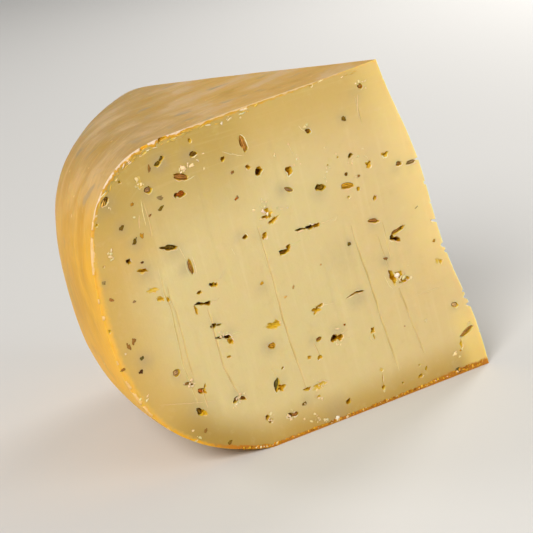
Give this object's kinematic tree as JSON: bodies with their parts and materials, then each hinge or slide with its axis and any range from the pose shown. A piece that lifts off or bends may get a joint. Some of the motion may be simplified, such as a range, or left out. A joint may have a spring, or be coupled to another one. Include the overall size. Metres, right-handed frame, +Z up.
{
  "type": "gouda cheese wedge",
  "caption": "Wedge cut from a thick round gouda with cumin seeds: waxed rind over the top, side and base, two knife-cut faces with small open eyes.",
  "frame": {"origin": "on the floor under the middle of the wedge's bounding box", "axes": "+Z up as the wedge stands on its base, +X from the rind side towards the tip, along the cut face that faces -Y"},
  "size_m": [0.1191, 0.0999, 0.0994],
  "materials": {
    "cheese": "pale buttery yellow paste, satin, slightly translucent",
    "rind": "thin tan-orange food coating, semi-gloss, slightly uneven",
    "seed": "cumin seed, dull brown to olive"
  },
  "bodies": {
    "root": {"gouda_wedge": "cheese"}
  },
  "joints": []
}
